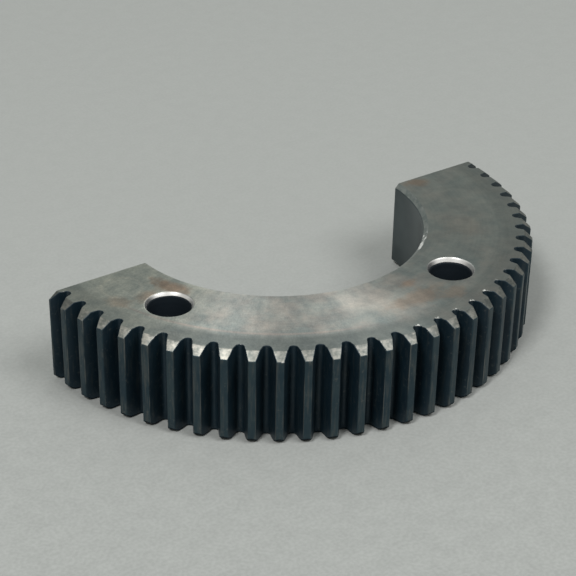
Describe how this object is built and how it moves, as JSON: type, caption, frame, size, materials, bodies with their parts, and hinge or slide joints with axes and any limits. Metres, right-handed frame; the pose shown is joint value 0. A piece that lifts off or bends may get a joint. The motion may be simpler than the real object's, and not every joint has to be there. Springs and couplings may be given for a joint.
{
  "type": "gear segment",
  "caption": "Half of a split spur ring gear with chamfered involute teeth, a plain bore and two countersunk screw holes, for clamping round a shaft or bolting to a hub.",
  "frame": {"origin": "bottom centre of the part's bounding box; the gear axis is parallel to Z and passes through x = 0, y = 0.021778 m", "axes": "+Z along the gear axis, from the bottom face to the top face; +X along the line of the two sawn end faces; +Y the way the end faces look; the teeth look towards -Y and the two ends"},
  "size_m": [0.0848, 0.0414, 0.0155],
  "materials": {
    "steel": "satin turned faces, worn blue-black oxide on the teeth and in the bore, bright bare chamfers, small brown stains"
  },
  "bodies": {
    "root": {"gear_segment": "steel"}
  },
  "joints": []
}
